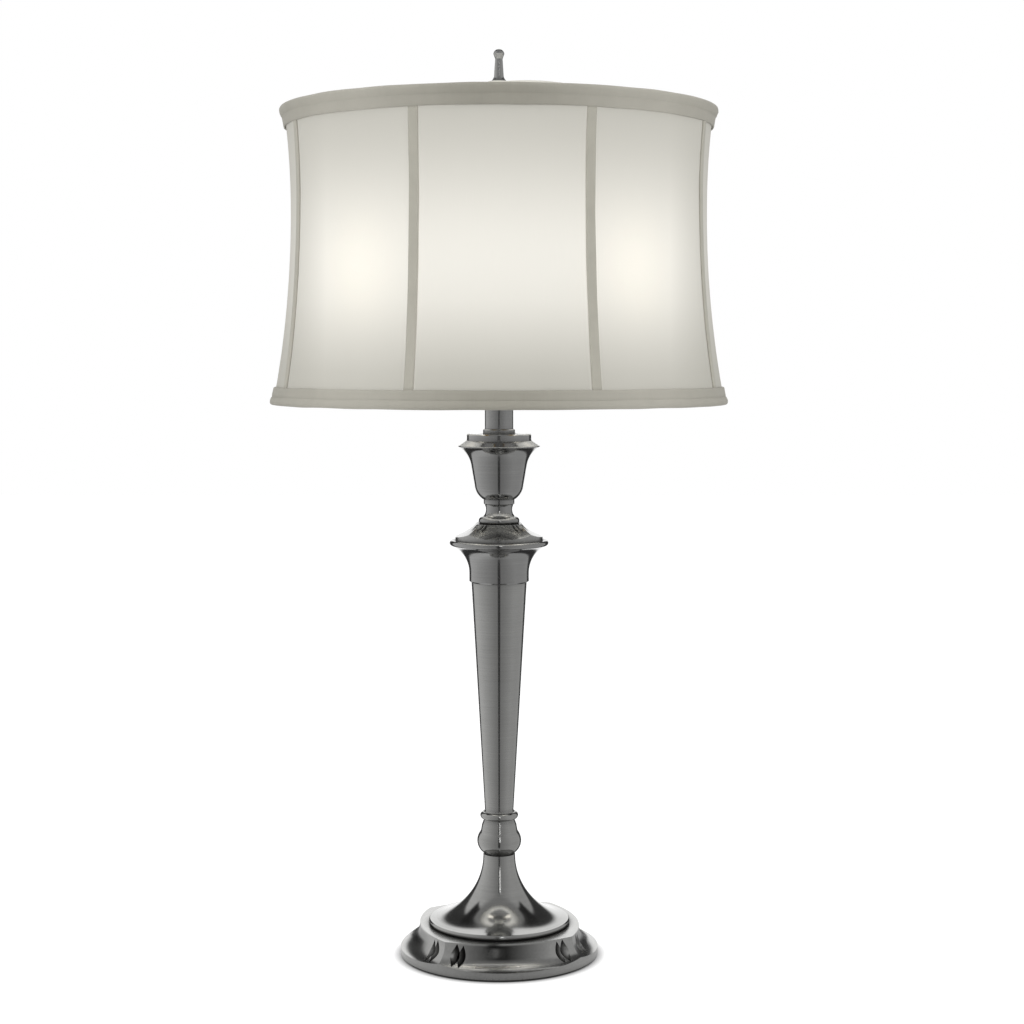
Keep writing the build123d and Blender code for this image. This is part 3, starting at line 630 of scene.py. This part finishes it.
# ---------------------------------------------------------------- pull chains


def lathe(name, profile, centre, parts=28):
    """Object turned about an upright line from (radius, height) pairs."""
    rows = []
    for radius, z in profile:
        ring = [around(radius, 2 * math.pi * j / parts, z) for j in range(parts)]
        rows.append([(centre[0] + x, centre[1] + y, z) for x, y, z in ring])
    return grid_mesh(name, rows, True)


def pull_chain(side, material, pull_material):
    """Ball chain with a turned bell pull, in place of the plain rod."""
    node = f"pull_chain_{side}"
    low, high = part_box(node)
    x, y = (low.x + high.x) / 2, (low.y + high.y) / 2
    pull_top = low.z + PULL_LENGTH
    profile = []
    z = high.z - CHAIN_BALL
    while z > pull_top + 0.001:
        for i in range(BALL_STEPS + 1):
            tilt = math.pi * i / BALL_STEPS
            profile.append((max(CHAIN_BALL * math.sin(tilt), CHAIN_WIRE), z + CHAIN_BALL * math.cos(tilt)))
        z -= CHAIN_PITCH
    profile.append((CHAIN_WIRE, pull_top - 0.001))
    chain = lathe(f"ball_chain_{side}", profile, (x, y), 16)
    finish_piece(chain, material, node, [node])
    bell = [(0.0002, pull_top), (0.0012, pull_top), (0.0016, pull_top - 0.0008), (0.0014, pull_top - 0.0018),
            (0.0018, pull_top - 0.004), (0.0026, pull_top - 0.0075), (0.0036, pull_top - 0.0105),
            (0.0041, pull_top - 0.0115), (0.0041, low.z + 0.0002), (0.0037, low.z), (0.0034, low.z + 0.0006),
            (0.0020, low.z + 0.005), (0.0002, low.z + 0.006)]
    pull = lathe(f"bell_pull_{side}", bell, (x, y))
    finish_piece(pull, pull_material, node, [])


# ---------------------------------------------------------------- rigid pieces


def paint(names, material):
    for name in names:
        piece = nodes[name]
        piece.data.materials.clear()
        piece.data.materials.append(material)
        for face in piece.data.polygons:
            face.material_index = 0


def rigid_pieces():
    turned = pewter("pewter_turned")
    # a darker copy of the turned pewter for the pieces up under the shade: painted shade
    shaded_upper = pewter("pewter_upper_shaded", light=(168, 168, 167))
    cast = pewter("pewter_cast", turned=False, rough=0.15)
    # the foot's copy carries a painted dark reflection in its coves
    painted_cove_reflection = pewter("pewter_foot", turned=False, rough=0.15, light=(186, 186, 184), painted_cove_reflection=True)
    paint(["bell", "neck_ball", "bead_ring", "column", "finial", "finial_foot", "shade_rest"], turned)
    paint(["capital", "cup_neck", "candle_cup", "cup_cap", "candle_tube", "tube_ring", "tube_top"], shaded_upper)
    paint(["foot_casting"], painted_cove_reflection)
    paint(["knop_plate", "cluster_body"], cast)
    paint(["felt_pad"], felt())
    paint(["foot_weight"], cast_iron())
    paint(["cord_bushing"], moulded("bushing_black", rgb(34, 33, 33), 0.45))
    zinc = plated("steel_zinc", rgb(196, 196, 192), 0.34)
    paint(["pipe_washer", "pipe_nut", "lamp_pipe", "riser_rod", "hub_washer"], zinc)
    enamel = moulded("enamel_cream", rgb(236, 234, 224), 0.32)
    paint(["shade_hub", "shade_spider", "shade_top_hoop", "shade_bottom_hoop", "shade_ribs"], enamel)
    brass = plated("brass_spun", rgb(190, 158, 96), 0.28)
    phenolic = moulded("phenolic_black", rgb(24, 23, 22), 0.3)
    card = card_tube()
    thin = plated("aluminium_rolled", rgb(212, 212, 210), 0.3)
    glass = frosted_bulb()
    chain = plated("chain_nickel", rgb(206, 200, 186), 0.22)
    for side in ("left", "right"):
        paint([f"socket_cap_{side}", f"socket_shell_{side}", f"chain_guide_{side}"], brass)
        paint([f"socket_core_{side}"], phenolic)
        paint([f"socket_liner_{side}"], card)
        paint([f"socket_screw_shell_{side}", f"bulb_base_{side}"], thin)
        paint([f"bulb_glass_{side}"], glass)
        pull_chain(side, chain, brass)


# ---------------------------------------------------------------- camera, floor and light


def camera():
    lens = bpy.data.cameras.new("camera")
    lens.lens = CAMERA_LENS
    lens.sensor_width = SENSOR_WIDTH
    view = bpy.data.objects.new("camera", lens)
    view.location = CAMERA_PLACE
    view.rotation_euler = (math.radians(90 - CAMERA_DROP), 0, 0)
    scene.collection.objects.link(view)
    scene.camera = view


def side_tone(t, apart, signed):
    """Tone that the metal sees round about: dim in front, brighter sides, dark and then white behind."""
    left = t.span(apart, 15.0, 105.0, FRONT_TONE, LEFT_TONE)
    right = t.span(apart, 15.0, 65.0, FRONT_TONE, RIGHT_TONE)
    tone = t.blend(t.window(signed, 0, 400, 5.0), left, right)
    tone = t.blend(t.window(apart, 136, 200, 3.0), tone, EDGE_TONE)
    return t.blend(t.window(apart, 164, 200, 3.0), tone, BACK_TONE)


def floor():
    mesh = bpy.data.meshes.new("floor")
    size = FLOOR_SIZE
    corners = [(-size, -size, 0), (size, -size, 0), (size, size, 0), (-size, size, 0)]
    mesh.from_pydata(corners, [], [(0, 1, 2, 3)])
    piece = bpy.data.objects.new("floor", mesh)
    scene.collection.objects.link(piece)
    material = bpy.data.materials.new("floor_white")
    t = Tree(material, empty=True)
    # what lights the lamp from below, and takes its shadow
    plain = t.add("BsdfDiffuse", {"Color": (FLOOR_BOUNCE, FLOOR_BOUNCE, FLOOR_BOUNCE, 1)})
    # what the camera sees: white, with the shadow where the foot stands
    near = t.add("AmbientOcclusion", {"Distance": SHADOW_REACH}, samples=16).outputs["AO"]
    near = t.math("POWER", near, SHADOW_POWER)
    shown = t.add("Emission", {"Strength": t.math("MULTIPLY", near, FLOOR_GLOW)})
    grey = t.add("BsdfDiffuse", {"Color": (FLOOR_SHOWN, FLOOR_SHOWN, FLOOR_SHOWN, 1)})
    seen = t.add("AddShader", {0: shown.outputs[0], 1: grey.outputs[0]})
    # what the metal reflects: a grey table that is white behind the lamp and dark before it
    where = t.position()
    apart, signed, _ = t.round_about(t.vector("NORMALIZE", where)[0])
    reach = t.vector("LENGTH", where)["Value"]
    gap = t.math("MULTIPLY", t.window(apart, -20, FRONT_GAP, GAP_SOFT), t.window(reach, 0.14, 20, 0.03))
    tone = t.blend(gap, side_tone(t, apart, signed), GAP_TONE)
    table = t.add("Emission", {"Strength": tone})
    path = t.add("LightPath").outputs
    first = t.add("MixShader", {0: t.math("MAXIMUM", path["Is Camera Ray"], path["Is Transmission Ray"]),
                                1: plain.outputs[0], 2: seen.outputs[0]})
    second = t.add("MixShader", {0: path["Is Glossy Ray"], 1: first.outputs[0], 2: table.outputs[0]})
    out = t.add("OutputMaterial")
    t.tree.links.new(second.outputs[0], out.inputs[0])
    mesh.materials.append(material)


def world():
    """White where it is seen, a grey studio where metal reflects it, and a soft fill for all else."""
    sky = bpy.data.worlds.new("studio")
    scene.world = sky
    t = Tree(sky, empty=True)
    where = t.add("TexCoord").outputs["Generated"]
    apart, signed, level = t.round_about(where)
    tone = t.blend(t.window(level, 56, 110, 6.0), side_tone(t, apart, signed), OVERHEAD_TONE)
    gap = t.math("MULTIPLY", t.window(apart, -20, FRONT_GAP, GAP_SOFT), t.window(level, -90, 50, 6.0))
    tone = t.blend(gap, tone, WORLD_GAP_TONE)
    band = t.math("MULTIPLY", t.window(apart, 98, 156, 5.0), t.window(level, 43, 58, 2.5))
    tone = t.blend(band, tone, BAND_TONE)
    strip = t.math("MULTIPLY", t.window(signed, 3.2, 6.2, 0.6), t.window(level, 4, 46, 4.0))
    tone = t.blend(strip, tone, STRIP_TONE)
    path = t.add("LightPath").outputs
    fill = t.add("Background", {"Color": (1, 1, 1, 1), "Strength": FILL})
    studio = t.add("Background", {"Color": (1, 1, 1, 1), "Strength": tone})
    white = t.add("Background", {"Color": (1, 1, 1, 1), "Strength": 1.0})
    first = t.add("MixShader", {0: path["Is Glossy Ray"], 1: fill.outputs[0], 2: studio.outputs[0]})
    second = t.add("MixShader", {0: path["Is Camera Ray"], 1: first.outputs[0], 2: white.outputs[0]})
    out = t.add("OutputWorld")
    t.tree.links.new(second.outputs[0], out.inputs[0])


def area_light(name, place, aim, size, watts):
    lamp = bpy.data.lights.new(name, "AREA")
    lamp.shape = "RECTANGLE"
    lamp.size, lamp.size_y = size
    lamp.energy = watts
    light = bpy.data.objects.new(name, lamp)
    light.location = place
    light.rotation_euler = (Vector(aim) - Vector(place)).to_track_quat("-Z", "Y").to_euler()
    light.visible_camera = False
    light.visible_glossy = False
    scene.collection.objects.link(light)


def lights():
    area_light("softbox_left", (-1.75, -1.15, 0.85), (0, 0, 0.45), (1.3, 1.9), 13.0)
    area_light("softbox_right", (1.75, -1.15, 0.85), (0, 0, 0.45), (1.3, 1.9), 11.0)
    area_light("softbox_top", (0.0, -0.5, 2.3), (0, 0, 0.3), (1.6, 1.2), 9.0)


scene.view_settings.view_transform = "Standard"
camera()
floor()
world()
lights()
rigid_pieces()
shade_cloths()
